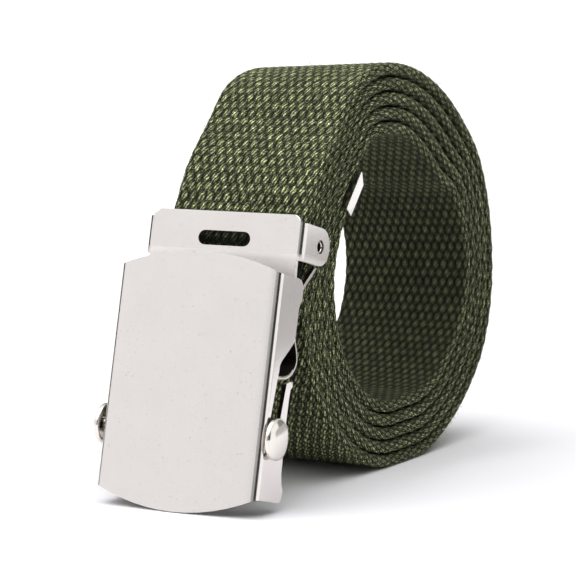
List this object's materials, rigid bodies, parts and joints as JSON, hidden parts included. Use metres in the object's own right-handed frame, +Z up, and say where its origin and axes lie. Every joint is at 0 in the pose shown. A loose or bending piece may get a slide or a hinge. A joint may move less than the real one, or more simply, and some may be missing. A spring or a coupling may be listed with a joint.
{
  "type": "canvas web belt",
  "caption": "Rolled cotton canvas web belt with a metal tip and a plain pressed-steel slide buckle: cover with slotted walls, hinged clamp flap and sliding locking bar.",
  "frame": {"origin": "centre of the bounding box on the floor", "axes": "+X across the web toward the roll's taller end, -Y the way the buckle's cover faces, +Z up"},
  "size_m": [0.0418, 0.1196, 0.0865],
  "materials": {
    "web": "woven cotton, matt",
    "tip": "nickel plate",
    "shell": "satin nickel plate",
    "plate": "nickel plate",
    "flap": "satin nickel plate",
    "pins": "nickel plate",
    "bar": "nickel plate"
  },
  "bodies": {
    "belt": {"web_strap": "web", "tip_cap": "tip", "buckle_shell": "shell", "back_plate": "plate", "clamp_flap": "flap", "hinge_pin_near": "pins", "hinge_pin_far": "pins"},
    "locking_bar": {"locking_bar": "bar"}
  },
  "joints": [
    {"name": "bar_slide", "type": "slide", "parent": "belt", "child": "locking_bar", "axis": [0, 0.374, 0.9274], "range_m": [-0.0012, 0.0098]}
  ]
}
